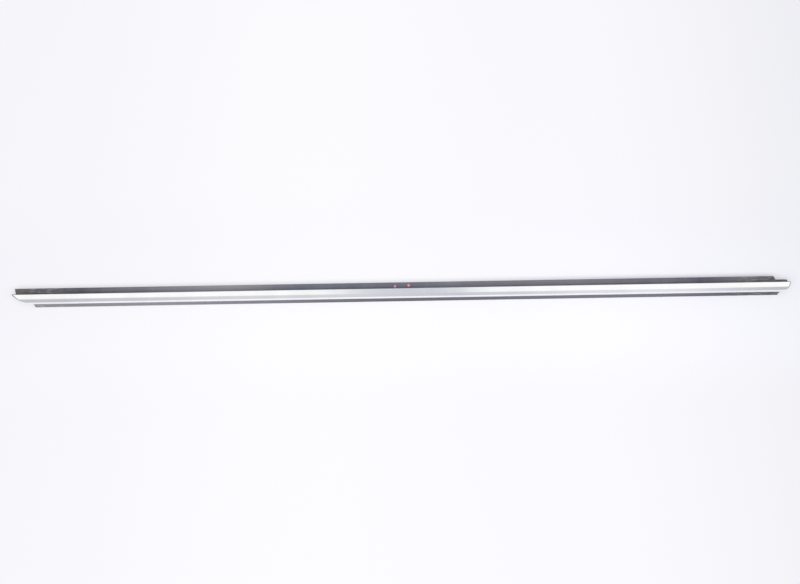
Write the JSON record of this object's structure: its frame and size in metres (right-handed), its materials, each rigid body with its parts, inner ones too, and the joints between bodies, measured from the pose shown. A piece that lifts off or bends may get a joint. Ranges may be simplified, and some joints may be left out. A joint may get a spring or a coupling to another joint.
{
  "type": "window belt moulding",
  "caption": "Outer window belt moulding for a car door: black grooved seal body with glass lips, faced with a bright metal strip.",
  "frame": {"origin": "middle of the bounding box at its lowest level, under the moulding as it lies on its glass side", "axes": "+X runs along the moulding, +Y points to its lower edge on the door, +Z points from the glass side to the outer side"},
  "size_m": [0.96, 0.0224, 0.0161],
  "materials": {
    "bright_steel": "roll formed bright stainless steel, fine satin sheen",
    "black_rubber": "extruded black rubber, matt, flocked on the glass side of the lips"
  },
  "bodies": {
    "root": {"bright_strip": "bright_steel", "seal_body": "black_rubber"}
  },
  "joints": []
}
